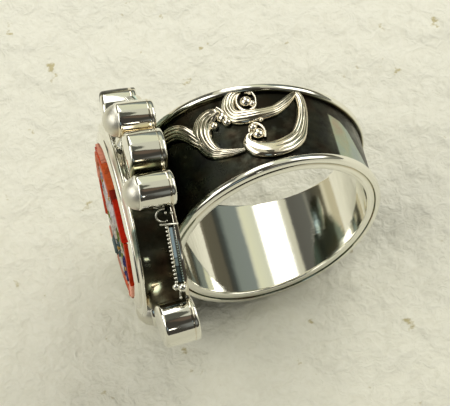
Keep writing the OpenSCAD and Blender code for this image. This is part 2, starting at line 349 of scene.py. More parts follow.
# where the rubbed patch at the back of the channel starts across it, by the angle from the head
RUBBED_TURN = [131, 132, 140, 145, 150, 155, 160]
RUBBED_NEAR = [-1.75, -1.7, -1.36, -0.71, 0.45, 1.45, 2.2]


def channel_tarnish(p):
    """Black round the ornament, with a gunmetal patch at the back where the band has been rubbed."""
    turn = np.degrees(np.arccos(np.clip(-p[:, 0] / np.hypot(p[:, 0], p[:, 2]), -1, 1)))
    near = -p[:, 1]
    start = np.interp(turn, RUBBED_TURN, RUBBED_NEAR)
    tarnish_cut = ease(turn, 130.8, 131.8) * ease(near, start - 0.06, start + 0.06)
    return 0.9 + 0.1 * ease(turn, 60, 85) - 0.06 * ease(turn, 105, 120) - 0.38 * tarnish_cut


def band_point(c, s, r, inset, side):
    """A point of the band, in from its slanting edge; behind the head the band is cut flat."""
    kept = min(r, HEAD_CUT / -c) if c < -0.5 else r
    return (kept * c, side * half_band(r * c, inset), kept * s)


def across_band(start, end, r, c, s):
    """Points across the band from one edge to the other, the edges themselves left out."""
    return [(r * c, start + (end - start) * k / ACROSS_STEPS, r * s) for k in range(1, ACROSS_STEPS)]


def make_shank():
    # radius and inset from the band's slanting edge, from the bore outwards
    section = [(BORE_R, 0.1), (BORE_R + 0.03, 0.04), (BORE_R + 0.1, 0.0), (SLEEVE_R - 0.06, 0.0),
               (SLEEVE_R + 0.02, 0.03), (SLEEVE_R + 0.2, 0.17), (SLEEVE_R + 0.21, 0.5), (CHANNEL_R, 0.9)]
    # the sleeve's part of the section, and where the channel starts
    sleeve_rows, channel_from = 6, 5
    inside, channel = Shape(), Shape()
    rows_in, rows_out = [], []
    for c, s in around(ROUND_STEPS):
        near = [band_point(c, s, r, inset, -1) for r, inset in section]
        far = [band_point(c, s, r, inset, 1) for r, inset in section]
        bore = across_band(far[0][1], near[0][1], BORE_R, c, s)
        top = across_band(near[-1][1], far[-1][1], math.hypot(near[-1][0], near[-1][2]), c, s)
        rows_in.append(far[:sleeve_rows][::-1] + bore + near[:sleeve_rows])
        rows_out.append(near[channel_from:] + top + far[channel_from:][::-1])
    inside.grid(rows_in, close_rows=True, close_cols=False)
    channel.grid(rows_out, close_rows=True, close_cols=False)
    made = inside.placed()
    dark, brown = sleeve_tarnish(made), 0.7 * sleeve_groove(made)
    make_piece("finger_sleeve", "shank", inside, BRUSHED, tarnish_and_painted_light=dark, brown=brown)
    dark = channel_tarnish(channel.placed())
    make_piece("band_channel", "shank", channel, BLACKENED, tarnish_and_painted_light=dark)


def make_rim(name, side, node_name):
    # radius in the rim's own plane and depth from its outer face
    bend = 0.36
    quarter = np.linspace(0, pi / 2, 9)
    section = [(RIM_IN_R, 0.75), (RIM_IN_R, 0.06), (RIM_IN_R + 0.05, 0.01), (RIM_R - bend, 0.0)]
    section += [(RIM_R - bend + bend * sin(t), bend - bend * cos(t)) for t in quarter[1:]]
    section += [(RIM_R - bend + bend * cos(t), RIM_W - bend + bend * sin(t)) for t in quarter]
    section += [(RIM_IN_R + 0.1, RIM_W)]
    shape = Shape()
    rows = []
    c, s = cos(RIM_TILT), sin(RIM_TILT)
    for x, z in around(ROUND_STEPS):
        rows.append([(max(r * x * c - depth * s, -HEAD_CUT), side * (HALF_BAND - r * x * s - depth * c),
                      r * z) for r, depth in section])
    shape.grid(rows, close_rows=True)
    radius, depth = np.array(section).T
    dark = np.maximum(0.95 * ease(depth, 0.66, 0.77), 0.55 * ease(radius, RIM_IN_R + 0.04, RIM_IN_R))
    # towards the head the groove beside the wire is less black
    place = shape.placed().reshape(ROUND_STEPS, -1, 3)
    worn = 1 - 0.35 * ease(place[:, :1, 0], 0, -6) * ease(place[:, :1, 2], -6, 2)
    level = (dark * worn).ravel()
    make_piece(name, node_name, shape, POLISHED, tarnish_and_painted_light=level, brown=level)


make_shank()
make_rim("rim_near", -1, "rim_wire_near")
make_rim("rim_far", 1, "rim_wire_far")


# Scroll ornament

# strokes, as rows of angle round the band, place towards the near rim, width
STEM = [(152, -3.5, 1.3), (146, -3.45, 1.6), (140, -3.35, 1.75), (134, -2.9, 1.7), (129.5, -2.1, 1.5),
        (125.5, -1.1, 1.4), (121, -0.1, 1.2)]
LEFT_SCROLL = [(109, -2.7, 0.7), (112, -2.75, 1.3), (115.5, -2.65, 1.75), (119, -2.3, 2.05),
               (121.5, -1.4, 2.1), (121, -0.3, 1.9), (118.5, 0.7, 1.6), (114.5, 1.3, 1.1),
               (108, 1.7, 0.75), (101.5, 1.85, 0.4)]
HOOK = [(110, -3.2, 0.5), (107.6, -2.5, 0.7), (106.3, -1.8, 0.65), (105, -1.25, 0.35)]
TOP_SCROLL = [(90.5, -3.6, 0.4), (95, -4.1, 0.6), (100, -3.95, 1.0), (103.5, -3.3, 1.3), (104.2, -2.4, 1.4),
              (101.5, -1.65, 1.45), (96, -1.4, 1.5), (89, -1.35, 1.3), (82, -1.5, 1.2), (76.5, -2.0, 1.05),
              (71.5, -2.7, 0.85), (67, -3.4, 0.5)]
RIGHT_SCROLL = [(68.5, -3.6, 0.5), (66, -2.8, 0.9), (65.9, -1.8, 1.05), (67, -0.8, 1.15), (69.3, 0.3, 1.3),
                (72.6, 1.35, 1.55), (78, 2.05, 1.75), (84.5, 2.4, 1.8), (90, 2.4, 1.75), (95.5, 2.05, 1.6),
                (99, 1.4, 1.2), (98.2, 0.7, 0.7), (95.5, 0.4, 0.4)]
# thin rings round the two groups of balls
TOP_RING = [(90.2, -3.75, 0.3), (89.2, -3.1, 0.32), (90.3, -2.35, 0.34), (93.2, -1.95, 0.36),
            (96.8, -2.1, 0.36), (99, -2.75, 0.34), (98.6, -3.5, 0.3), (96.5, -3.95, 0.26)]
LOW_RING = [(90, 1.15, 0.3), (89.2, 0.5, 0.34), (90.2, -0.1, 0.36), (92.6, -0.45, 0.36), (95.8, -0.35, 0.34),
            (97.2, 0.25, 0.3)]
# a stretch beyond a stroke's end, where nothing is left smooth
NO_PLAIN = (2, 2)
# stroke, ribs along it, and the stretch of it that is left smooth, 0 its start and 1 its end
STROKES = [(STEM, 5, NO_PLAIN), (LEFT_SCROLL, 5, (0.0, 0.14)), (HOOK, 1, NO_PLAIN),
           (TOP_SCROLL, 5, (0.93, 1.0)), (RIGHT_SCROLL, 4, (0.62, 1.0)),
           (TOP_RING, 1, NO_PLAIN), (LOW_RING, 1, NO_PLAIN)]
# angle round the band, place towards the near rim, radius
SCROLL_BALLS = [(94.5, -2.95, 0.54), (91.7, -2.5, 0.3), (92.9, 0.6, 0.54), (94.6, -0.12, 0.38),
                (89.6, -0.6, 0.2), (113.6, -1.55, 0.36), (108.2, -2.1, 0.56), (106.6, -1.45, 0.42)]
SCROLL_BASE = CHANNEL_R + 0.01
SCROLL_TOP = RIM_R + 0.03
# steps from one row of a stroke's table to the next, and round a ball
STROKE_STEPS = 16
BALL_STEPS = 28


def smooth_rows(rows, steps):
    """Points on a smooth curve through the rows of a table."""
    rows = np.asarray(rows, float)
    n = len(rows) - 1
    out = []
    for u in np.linspace(0, n, n * steps + 1):
        i = min(int(u), n - 1)
        t = u - i
        p0, p1, p2, p3 = (rows[min(max(k, 0), n)] for k in (i - 1, i, i + 1, i + 2))
        out.append(p1 + t * (p2 - p0) / 2 + t * t * (p0 - 2.5 * p1 + 2 * p2 - p3 / 2)
                   + t ** 3 * (1.5 * (p1 - p2) + (p3 - p0) / 2))
    return np.array(out)


def on_band(ang, near, r):
    """A point round the band, kept between the rims."""
    x = r * cos(ang)
    room = HALF_BAND - RIM_W - 0.02 - x * math.tan(RIM_TILT)
    return (x, -min(max(near, -room), room), r * sin(ang))


def add_stroke(shape, table, flip, ribs, plain, painted):
    """One stroke of the scroll, dark at its sides and between its ribs."""
    line = smooth_rows(table, STROKE_STEPS)
    step = np.gradient(line, axis=0)
    across = np.linspace(-1, 1, 12 * ribs + 7)
    body = (1 - np.abs(across) ** 2.6) ** 0.58
    rows = []
    for i, ((ang, near, width), d) in enumerate(zip(line, step)):
        u = i / (len(line) - 1)
        # how deep the ribs are cut here, and how they wander across the stroke
        smooth = ease(u, plain[0] - 0.06, plain[0] + 0.02) * ease(u, plain[1] + 0.06, plain[1] - 0.02)
        cut = (0.75 + 0.35 * sin(9 * u + ribs)) * float(1 - smooth) * (ribs > 1)
        wander = across + 0.05 * sin(7 * u + 2 * ribs) * (1 - across ** 2)
        rib = np.abs(np.sin(pi * ribs * (wander + 1) / 2)) ** 0.7
        rib = 1 - cut * (1 - rib)
        turn = radians(d[0]) * RIM_R
        long = math.hypot(turn, d[1]) or 1
        rise = (SCROLL_TOP - SCROLL_BASE) * min(1, 0.38 + width * 0.6)
        # slow waves keep the smooth stretches from looking machined
        wave = 1 + 0.05 * sin(16 * u + ribs) * np.sin(2.2 * across + 5 * u) * (ribs > 1)
        row = []
        for v, high in zip(across, rise * body * (0.84 + 0.16 * rib) * wave):
            a = radians(ang) + v * width / 2 * d[1] / long / RIM_R
            y = near - v * width / 2 * turn / long
            row.append(on_band(flip * a, y, SCROLL_BASE + min(high, SCROLL_TOP - SCROLL_BASE)))
        rows.append(row[::flip])
        painted.extend(np.clip(np.maximum(1 - 1.6 * body, 0.7 * (1 - rib) ** 0.9), 0, 1)[::flip])
    shape.grid(rows, caps=True)


def add_ball(shape, centre, r, steps):
    rows = []
    for i in range(1, steps // 2):
        t = pi * i / (steps // 2)
        rows.append([(centre[0] + r * sin(t) * c, centre[1] + r * sin(t) * s,
                      centre[2] + r * cos(t)) for c, s in around(steps)])
    shape.grid(rows[::-1], caps=True)


def make_scroll(name, flip, node_name):
    shape = Shape()
    painted = []
    for table, ribs, plain in STROKES:
        add_stroke(shape, table, flip, ribs, plain, painted)
    for ang, near, r in SCROLL_BALLS:
        start = len(shape.points)
        add_ball(shape, on_band(flip * radians(ang), near, SCROLL_TOP + 0.04 - r), r, BALL_STEPS)
        height = np.linalg.norm(shape.placed(start)[:, [0, 2]], axis=1)
        painted.extend(ease(height, SCROLL_TOP - 0.2, SCROLL_BASE))
    make_piece(name, node_name, shape, CAST, 60, painted)


make_scroll("scroll_relief_upper", 1, "scroll_upper")
make_scroll("scroll_relief_lower", -1, "scroll_lower")


# Head

# how far the lobes lean outwards, the rounding of a flat lobe's edge and the swell of a lobe's side
LEAN = radians(5)
LOBE_ROUND = 0.35
LOBE_SWELL = 0.035
# how finely each form is divided
LOBE_STEPS = 72
DOME_STEPS = 16
OVAL_STEPS = 240
WALL_STEPS = 360
PLATE_STEPS = 720
# place along the finger, place up the head, radius, height, rise of the dome
LOBES = [(0, 8.9, 2.1, 3.05, 0), (0, -8.9, 2.1, 2.7, 0), (-11.15, 0, 2, 2.95, 0), (11.4, 0, 2, 2.9, 0),
         (3.8, 8.9, 1.6, 3.05, 1.15), (-3.8, 8.9, 1.6, 3.05, 1.15),
         (3.8, -8.9, 1.6, 2.35, 1.15), (-3.8, -8.9, 1.6, 2.35, 1.15)]
UPPER_LOBE, FAR_LOBE, UPPER_FAR_LOBE = LOBES[0], LOBES[2], LOBES[5]
# half length and half height of the ovals of the front, the wall and the back plate
FRONT_OVAL, WALL_OVAL, PLATE_OVAL = (9.2, 7.7), (8.8, 7.1), (11, 9.3)


def oval_outline(a, b, steps):
    """The oval of the head, drawn as four arcs."""
    # radii of the end arcs and the side arcs, and how far along the finger they touch
    e = 0.93 * b * b / a
    big = ((a - e) ** 2 + b * b - e * e) / (2 * (b - e))
    touch = (a - e) * big / (big - e)
    out = []
    for c, s in around(steps):
        # distance to the end arc and to the side arc along this direction
        ex, sy = math.copysign(a - e, c), math.copysign(big - b, -s)
        reach = e * e - (ex * s) ** 2
        end = ex * c + math.sqrt(reach) if reach >= 0 else 0
        side = sy * s + math.sqrt(big * big - (sy * c) ** 2)
        d = end if abs(side * c) > touch and end > 0 else side
        out.append((d * c, d * s))
    return out


def ellipse_outline(a, b, steps):
    return [(a * c, b * s) for c, s in around(steps)]


def scaled_rings(outline, profile):
    """Rings of points in head axes: profile rows give (offset outwards, distance)."""
    pts = np.asarray(outline, float)
    tangent = np.roll(pts, -1, 0) - np.roll(pts, 1, 0)
    normal = np.stack([tangent[:, 1], -tangent[:, 0]], 1)
    normal /= np.linalg.norm(normal, axis=1)[:, None]
    return [[(p[0] + n[0] * off, p[1] + n[1] * off, d) for p, n in zip(pts, normal)] for off, d in profile]


def add_rings(shape, rings, closed=False, caps=False):
    shape.grid([head_to_ring(r) for r in rings], close_rows=closed, caps=caps)


def lobe_profile(r, h, rise):
    """Radius and height rows from the rounded back edge to the middle of the front."""
    back = [(0.02, -0.24), (r - 0.18, -0.24), (r - 0.09, -0.2), (r - 0.045, -0.12)]
    # the side swells a little between its ends
    side = h - (0.22 if rise else LOBE_ROUND)
    back += [(r - LOBE_SWELL * (1 - sin(pi * k / 10)), side * k / 10) for k in range(10)]
    r -= LOBE_SWELL
    if rise:
        dome_r = ((r - 0.12) ** 2 + rise * rise) / (2 * rise)
        wide = math.asin((r - 0.12) / dome_r)
        back += [(r, h - 0.22), (r - 0.015, h - 0.12), (r - 0.06, h - 0.04), (r - 0.12, h)]
        return back + [(max(dome_r * sin(t), 0.02), h + rise - dome_r * (1 - cos(t)))
                       for t in (wide * (1 - i / DOME_STEPS) for i in range(DOME_STEPS + 1))]
    back.append((r, h - LOBE_ROUND))
    back += [(r - LOBE_ROUND + LOBE_ROUND * cos(t), h - LOBE_ROUND + LOBE_ROUND * sin(t))
             for t in np.linspace(0, pi / 2, 9)[1:]]
    return back + [(0.6 * r, h + 0.03), (0.3 * r, h + 0.05), (0.02, h + 0.05)]


def add_lobe(shape, a, b, r, h, rise):
    out = math.hypot(a, b)
    lean = Matrix.Rotation(LEAN, 3, Vector((-b / out, a / out, 0)))
    rows = []
    for away, high in lobe_profile(r, h, rise):
        row = [lean @ Vector((away * c, away * s, high)) for c, s in around(LOBE_STEPS)]
        rows.append([(a + p.x, b + p.y, BACK_D + p.z) for p in row])
    add_rings(shape, rows, caps=True)


def add_neck(shape, a, b, r, h):
    """The flared bridge that carries a lobe from the drum's wall."""
    out = math.hypot(a, b)
    u = np.array([a, b]) / out
    w = np.array([-u[1], u[0]])
    rows = []
    for s in np.linspace(0, 1, 14):
        half = 0.72 * r * (1 + 0.75 * s ** 3)
        centre = np.array([a, b]) - u * s * 0.3 * out
        top = h - 0.4 + (UNDER_D + 0.05 - BACK_D - h + 0.4) * float(ease(s, 0.25, 0.75))
        row = []
        for v in np.linspace(-1, 1, 33):
            p = centre + w * v * half
            row.append((p[0], p[1], BACK_D + 0.2 + max(top - 0.2, 0.1) * (1 - abs(v) ** 3) ** 0.6))
        rows.append(row)
    add_rings(shape, rows, caps=True)


def front_tarnish_and_reflection(p):
    """Darker stretches on the front: one near the near lobe, a painted dark reflection on the moulding's
    side, and a fainter one on the far half.
    """
    near, up, out = -p[:, 1], p[:, 2], -p[:, 0]
    upper = ease(up, 1.5, 2.5)
    # painted reflection: the dark stretch beside the near lobe
    level = 0.74 * ease(near, 5.1, 5.6) * ease(near, 7.5, 6.9) * ease(out, 12.84, 12.76)
    return level * upper + 0.42 * ease(near, 1.0, 0.2) * ease(near, -2.4, -1.2) * upper


def lobe_painted_reflection(lobe, made):
    """Brown and dark paint on the points of a lobe: painted reflections of the lobe beside it and of dark
    surroundings, with a painted highlight.
    """
    far = made[:, 1]
    if lobe == UPPER_LOBE:
        # brown and dark where it meets the lobe beside it, painted as that lobe's golden reflection, with a
        # lighter streak in it as a painted highlight
        reflected_tint = ease(-far, 1.45, 1.7)
        highlight_streak = ease(-far, 1.74, 1.8) * ease(-far, 1.96, 1.88) * ease(-made[:, 0], 9.6, 10.2)
        return reflected_tint, (0.84 - 0.45 * highlight_streak) * reflected_tint
    if lobe == UPPER_FAR_LOBE:
        # brown on the side towards the middle lobe, a painted reflection of that lobe
        return 0.7 * ease(-far, -2.8, -2.4), 0 * far
    if lobe == FAR_LOBE:
        # the far edge is painted dark and brown, as the dark reflection along it
        reflected_tint = ease(far, 12.08, 12.22)
        return reflected_tint, 0.94 * reflected_tint
    return 0 * far, 0 * far


def make_lobes():
    lobes = Shape()
    satin, tarnish_and_painted_light, brown = [], [], []
    for lobe in LOBES:
        start = len(lobes.points)
        add_lobe(lobes, *lobe)
        count = len(lobes.points) - start
        dome = (DOME_STEPS + 1) * LOBE_STEPS if lobe[4] else 0
        back = 2 * LOBE_STEPS
        # the backs are left dull, the domes are softly matted
        level = np.repeat([0.7, 0.0, 0.13], [back, count - back - dome, dome])
        reflected_tint, reflected_level = lobe_painted_reflection(lobe, lobes.placed(start))
        satin.extend(np.repeat([0.0, 0.36], [count - dome, dome]))
        tarnish_and_painted_light.extend(np.maximum(level, reflected_level))
        brown.extend(reflected_tint)
    make_piece("head_lobes", "head_frame", lobes, POLISHED, 40, tarnish_and_painted_light, satin, brown)


def make_front():
    front = Shape()
    # offset outwards from the oval and distance from the ring's axis
    profile = [(-1.5, UNDER_D), (-0.3, UNDER_D), (-0.15, UNDER_D + 0.02), (-0.05, UNDER_D + 0.07),
               (0, UNDER_D + 0.15), (-0.01, 12.56), (-0.05, 12.63), (-0.13, 12.69), (-0.25, 12.73),
               (-0.4, 12.76), (-0.8, 12.82), (-1.2, 12.86)]
    add_rings(front, scaled_rings(oval_outline(*FRONT_OVAL, OVAL_STEPS), profile))
    satin = np.repeat([0.3 if off < -0.2 else 0.05 for off, _d in profile], OVAL_STEPS)
    tarnish_and_painted_light = front_tarnish_and_reflection(front.placed())
    make_piece("head_front", "head_frame", front, POLISHED, 60, tarnish_and_painted_light, satin)


# painted highlights on the wall beside the near lobe, spots where the tarnish is lowered so that they shine:
# middle, reach, how much of the tarnish is taken off
PAINTED_GLINT_SPOTS = [((-11.55, -8.6, 1.6), 0.75, 0.6), ((-11.92, -7.2, 3.85), 0.26, 0.55),
                ((-11.85, -7.55, 3.4), 0.3, 0.25)]


def make_drum():
    drum = Shape()
    wall_rows = [(0, d) for d in np.linspace(BACK_D + 0.2, UNDER_D + 0.1, 16)]
    add_rings(drum, scaled_rings(oval_outline(*WALL_OVAL, WALL_STEPS), wall_rows))
    wall_points = len(drum.points)
    for lobe in LOBES:
        add_neck(drum, *lobe[:4])
    made = drum.placed()
    neck = made[wall_points:]
    near_neck = neck[:, 1] < -8.5
    # the wall is dark with tarnish, and made lighter on top between the lobes as painted light where it lies
    # in shade
    level = 0.9 - 0.68 * ease(np.abs(made[:, 1]), 3.2, 2.2) * ease(made[:, 2], 2, 5)
    level[wall_points:] = 0.02 + 0.7 * ease(-neck[:, 0], 11.2, BACK_D + 1.0)
    level[wall_points:][near_neck] = 0.05 + 0.9 * ease(-neck[near_neck, 0], 12.3, 12.15)
    # painted highlights: the glint spots are made bright
    for spot, reach, tarnish_cut in PAINTED_GLINT_SPOTS:
        level -= tarnish_cut * ease(np.linalg.norm(made - spot, axis=1), reach, reach * 0.3)
    brown = 0.75 * ease(-made[:, 1], 3.5, 6)
    make_piece("head_drum", "head_frame", drum, STAINED, 60, np.maximum(level, 0), brown=brown)


def plate_outline():
    """Outline of the back plate: the farthest of the oval and the lobes' circles in each direction."""
    out = []
    for (x, y), (c, s) in zip(oval_outline(*PLATE_OVAL, PLATE_STEPS), around(PLATE_STEPS)):
        d = math.hypot(x, y)
        for a, b, r, _h, _rise in LOBES:
            along = a * c + b * s
            off = a * s - b * c
            if along > 0 and abs(off) < r:
                d = max(d, along + math.sqrt(r * r - off * off))
        out.append((d * c, d * s))
    return out


def make_back_plate():
    shape = Shape()
    profile = [(-0.08, BACK_D), (-0.02, BACK_D + 0.03), (0, BACK_D + 0.1), (0, BACK_D + PLATE_H - 0.05),
               (-0.03, BACK_D + PLATE_H)]
    rings = scaled_rings(plate_outline(), profile)
    # the first ring is doubled, so that the back face has its own dull points
    add_rings(shape, [rings[0]] + rings, caps=True)
    dull = np.repeat([0.68] + [0.1] * len(profile), PLATE_STEPS)
    make_piece("head_back_plate", "back_plate", shape, POLISHED, 40, dull, brown=0.3)


make_lobes()
make_front()
make_drum()
make_back_plate()


# Bars in the four recesses

# middle of a bar along the finger and up, and the signs of the four
BAR_AT = (8.05, 5.2)
BAR_SIGNS = [(1, 1), (-1, 1), (-1, -1), (1, -1)]
# start and end along a bar and tarnish of its wall's three lengths
WALL_LENGTHS = [(-2.35, 0.3, 0.05), (0.36, 1.02, 0.4), (1.08, 2.45, 0.78)]
# a bar's wall and the dark strip behind it, as place across and height
WALL_SECTION = [(0.12, 0), (0.12, 0.5), (0.2, 0.56), (0.33, 0.5), (0.36, 0.44), (0.36, 0.02)]
STRIP_SECTION = [(-0.3, 0), (-0.3, 0.3), (0.3, 0.3), (0.3, 0)]
BEADS = 15
GRAINS = 22
WIRE_SIDES = 10
# balls of the near bars: along, across, height, radius
BAR_BALLS = [(-3.65, 0.15, 0.5, 0.13), (-3.55, 0.2, 0.0, 0.14), (2.95, 0.38, 0.22, 0.42),
             (2.82, 0.15, 0.72, 0.33), (3.9, -0.2, 0.45, 0.13)]


def add_wire(shape, path, r):
    """A round wire through points in head axes."""
    pts = [Vector(p) for p in path]
    rows = []
    for i, p in enumerate(pts):
        along = (pts[min(i + 1, len(pts) - 1)] - pts[max(i - 1, 0)]).normalized()
        side = along.orthogonal().normalized() if i == 0 else (side - along * side.dot(along)).normalized()
        up = along.cross(side)
        rows.append([tuple(p + r * (side * c + up * s)) for c, s in around(WIRE_SIDES)])
    add_rings(shape, rows, caps=True)


def make_bar(number, sa, sb):
    turn = radians(-45 * sa * sb)
    u = np.array([cos(turn), sin(turn)]) * sa
    w = np.array([sa, sb]) * math.sqrt(0.5)
    centre = np.array(BAR_AT) * (sa, sb)
    shape = Shape()
    painted = []

    def place(along, across, high):
        p = centre + u * along + w * across
        return (p[0], p[1], BACK_D + PLATE_H + high)

    def ball(along, across, high, r, steps=20):
        add_ball(shape, head_to_ring([place(along, across, high)])[0], r, steps)

    def strip(section, stations):
        rows = [head_to_ring([place(x, across, high) for across, high in section]) for x in stations]
        shape.grid(rows[::sb * sa], caps=True)

    def done(level):
        painted.extend([level] * (len(shape.points) - len(painted)))

    # polished wall in three lengths, the lower ones duller, and a dark strip behind it
    for start, end, level in WALL_LENGTHS:
        strip(WALL_SECTION, np.linspace(start, end, 8))
        done(level)
    strip(STRIP_SECTION, (-2.45, 2.5))
    done(0.95)
    # flattened beads along the wall's crest and small dark grains at its foot
    for x in np.linspace(-2.4, 2.4, BEADS):
        start = len(shape.points)
        add_ball(shape, (0, 0, 0), 1.0, 12)
        for k in range(start, len(shape.points)):
            along, across, high = np.array(shape.points[k]) * (0.13, 0.18, 0.18)
            shape.points[k] = tuple(head_to_ring([place(x + along, 0.2 + across, 0.62 + high)])[0])
    done(0.1)
    for x in np.linspace(-2.4, 2.4, GRAINS):
        ball(x, 0.44, 0.03, 0.08, 10)
    done(0.7)
    # a ledge and coiled ends at the top on the near side, two balls and a small stem at the bottom
    if sa > 0:
        add_wire(shape, [place(-2.7, 0.1, 1.15), place(-2.68, 0.3, 0.6), place(-2.66, 0.5, -0.02),
                         place(-2.66, 0.75, -0.3)], 0.1)
        add_wire(shape, [place(-3.45 + 0.55 * cos(t), 0.05, 0.72 + 0.62 * sin(t))
                         for t in np.linspace(-0.5, 3.5, 26)], 0.08)
        for row in BAR_BALLS:
            ball(*row)
        add_wire(shape, [place(3.9, -0.2, 0.45), place(3.6, -0.2, 0.45), place(3.2, -0.1, 0.4)], 0.07)
    else:
        ball(-2.5, 0, 0.3, 0.3)
        ball(2.5, 0, 0.3, 0.3)
    done(0.1)
    make_piece(f"bead_bar_{number}", f"beaded_bar_{number}", shape, POLISHED, 40, painted)


for number, signs in enumerate(BAR_SIGNS, 1):
    make_bar(number, *signs)


def make_bezel():
    shape = Shape()
    inner = scaled_rings(ellipse_outline(MOSAIC_A + 0.05, MOSAIC_B + 0.05, OVAL_STEPS), [
        (0, BEZEL_FROM), (0, BEZEL_D + 0.14), (0.02, BEZEL_D + 0.19), (0.07, BEZEL_D + 0.2),
        (0.14, BEZEL_D + 0.17)])
    outer = scaled_rings(ellipse_outline(MOSAIC_A + 1.2, MOSAIC_B + 0.45, OVAL_STEPS), [
        (-0.12, BEZEL_D), (-0.04, BEZEL_D - 0.03), (0, BEZEL_D - 0.1), (0, BEZEL_FROM)])
    add_rings(shape, inner + outer, closed=True)
    make_piece("mosaic_bezel", "bezel", shape, POLISHED, 40)


make_bezel()


# Mosaic

TESS_FROM = 13.07
# rods of the border: start and end angle, width, height of the top, colour
BORDER = [(6, 45.5, 1.1, 0.27, (0.5, 0.03, 0.004)), (46.5, 79, 1.1, 0.4, (0.46, 0.014, 0.002)),
          (79.3, 86, 1.15, 0.48, (0.2, 0.01, 0.002)), (86.4, 111, 1.15, 0.54, (0.62, 0.1, 0.02)),
          (112, 133, 1.0, 0.5, (0.6, 0.08, 0.02)), (134, 151, 0.9, 0.36, (0.5, 0.03, 0.01)),
          (152, 177, 0.8, 0.1, (0.42, 0.03, 0.01)), (178, 192, 0.7, 0.2, (0.72, 0.22, 0.1)),
          (193, 208, 0.6, 0.18, (0.7, 0.28, 0.18)), (209, 238, 0.5, 0.13, (0.55, 0.06, 0.02)),
          (247, 256.5, 0.3, 0.08, (0.66, 0.26, 0.17)), (257.5, 268.5, 1.0, 0.1, (0.09, 0.13, 0.13)),
          (271, 292, 0.3, 0.03, (0.66, 0.3, 0.2)), (293, 318, 0.6, 0.0, (0.6, 0.1, 0.03)),
          (319, 341, 0.8, 0.1, (0.65, 0.12, 0.05)), (342, 365, 1.0, 0.22, (0.9, 0.42, 0.29))]
# start angles of the rods whose outer strand is narrow, pale pink and lies lower
PALE_EDGED = (112, 134)
PALE_PINK = (0.72, 0.27, 0.17)
ROD_STEPS = 12
# place along the finger, place up, petals, reach, petal width, colour
FLOWERS = [(-2.2, 0.3, 8, 2.25, 1.15, (0.66, 0.6, 0.62)), (4.3, -1.25, 6, 1.15, 0.8, (0.03, 0.022, 0.12)),
           (4.2, 2.0, 6, 0.95, 0.6, (0.1, 0.16, 0.2)), (-5.1, -1.0, 5, 0.75, 0.5, (0.36, 0.36, 0.4)),
           (1.15, -2.6, 5, 0.85, 0.5, (0.09, 0.13, 0.12))]
# place along the finger, place up, turn, length, width
LEAVES = [(2.6, 0.45, 2, 2.1, 0.66), (0.9, -0.9, -50, 1.3, 0.6), (0.9, 2.7, 40, 1.3, 0.6),
          (-4.9, 1.75, 130, 1.1, 0.5), (6.0, 0.2, 90, 1, 0.45), (-2.6, -2.9, 200, 1.3, 0.5),
          (2.7, -1.6, 30, 1.0, 0.4)]
LEAF_GREEN = (0.2, 0.24, 0.05)
YOLK = (0.55, 0.33, 0.06)
# share of a petal's width at the start and end of each of its three strips
PETAL_STRIPS = [(0.5, 0.75), (0.75, 1), (1, 0.55)]
PETAL_FROM = 0.4
# the pale ground's tiles: distance from one to the next along and up, and their shades
TILE_W = 0.44
TILE_H = 0.32
GROUND = [(0.56, 0.5, 0.42), (0.62, 0.56, 0.5), (0.5, 0.44, 0.42), (0.66, 0.6, 0.5)]


def add_tile(shape, outline, top, bevel, tint, spread=0.12):
    """One tessera: an upright prism with a softened top edge and its own shade."""
    pts = np.asarray(outline, float)
    step = pts.mean(0) - pts
    step *= np.minimum(bevel / np.linalg.norm(step, axis=1)[:, None], 0.6)
    start = len(shape.points)
    rows = ((pts, TESS_FROM), (pts, top - bevel), (pts + step * 0.35, top - bevel * 0.3), (pts + step, top))
    add_rings(shape, [[(x, y, d) for x, y in line] for line, d in rows], caps=True)
    shade = 1 + random.uniform(-spread, spread)
    shape.tints.extend([(*(part * shade for part in tint), 1)] * (len(shape.points) - start))


def mosaic_object(name, shape, node_name):
    piece = make_piece(name, node_name, shape, GLASS, 30)
    painted = piece.data.attributes.new("tint", "FLOAT_COLOR", "POINT")
    painted.data.foreach_set("color", np.asarray(shape.tints, np.float32).ravel())


def oval_point(degrees, inset):
    t = radians(degrees)
    return np.array([(MOSAIC_A - inset) * cos(t), (MOSAIC_B - inset) * sin(t)])


def between(first, second, share):
    return [a + (b - a) * share for a, b in zip(first, second)]


def make_border():
    shape = Shape()
    for t0, t1, width, high, tint in BORDER:
        # a rod's outer side is halfway between the oval and a straight line, its inner side is straight
        first, last = oval_point(t0, 0), oval_point(t1, 0)
        outer = [(oval_point(t, 0) + first + (last - first) * k / ROD_STEPS) / 2
                 for k, t in enumerate(np.linspace(t0, t1, ROD_STEPS + 1))]
        first, last = oval_point(t0, width), oval_point(t1, width)
        inner = [first + (last - first) * k / ROD_STEPS for k in range(ROD_STEPS + 1)]
        # each rod is two strands of glass, from where to where across it, and how much lower each lies
        if t0 in PALE_EDGED:
            strands = ((0.0, 0.23, 0.1, PALE_PINK), (0.27, 1.0, 0.0, tint))
        else:
            strands = ((0.0, 0.46, 0.0, tint), (0.5, 1.0, 0.03, tint))
        for start, end, drop, shade in strands:
            outline = between(outer, inner, start) + between(outer, inner, end)[::-1]
            add_tile(shape, outline, MOSAIC_D + high - drop, 0.07, shade)
    mosaic_object("mosaic_border_rods", shape, "mosaic_border")


def turned(points, degrees, x, y):
    c, s = cos(radians(degrees)), sin(radians(degrees))
    return [(x + p[0] * c - p[1] * s, y + p[0] * s + p[1] * c) for p in points]


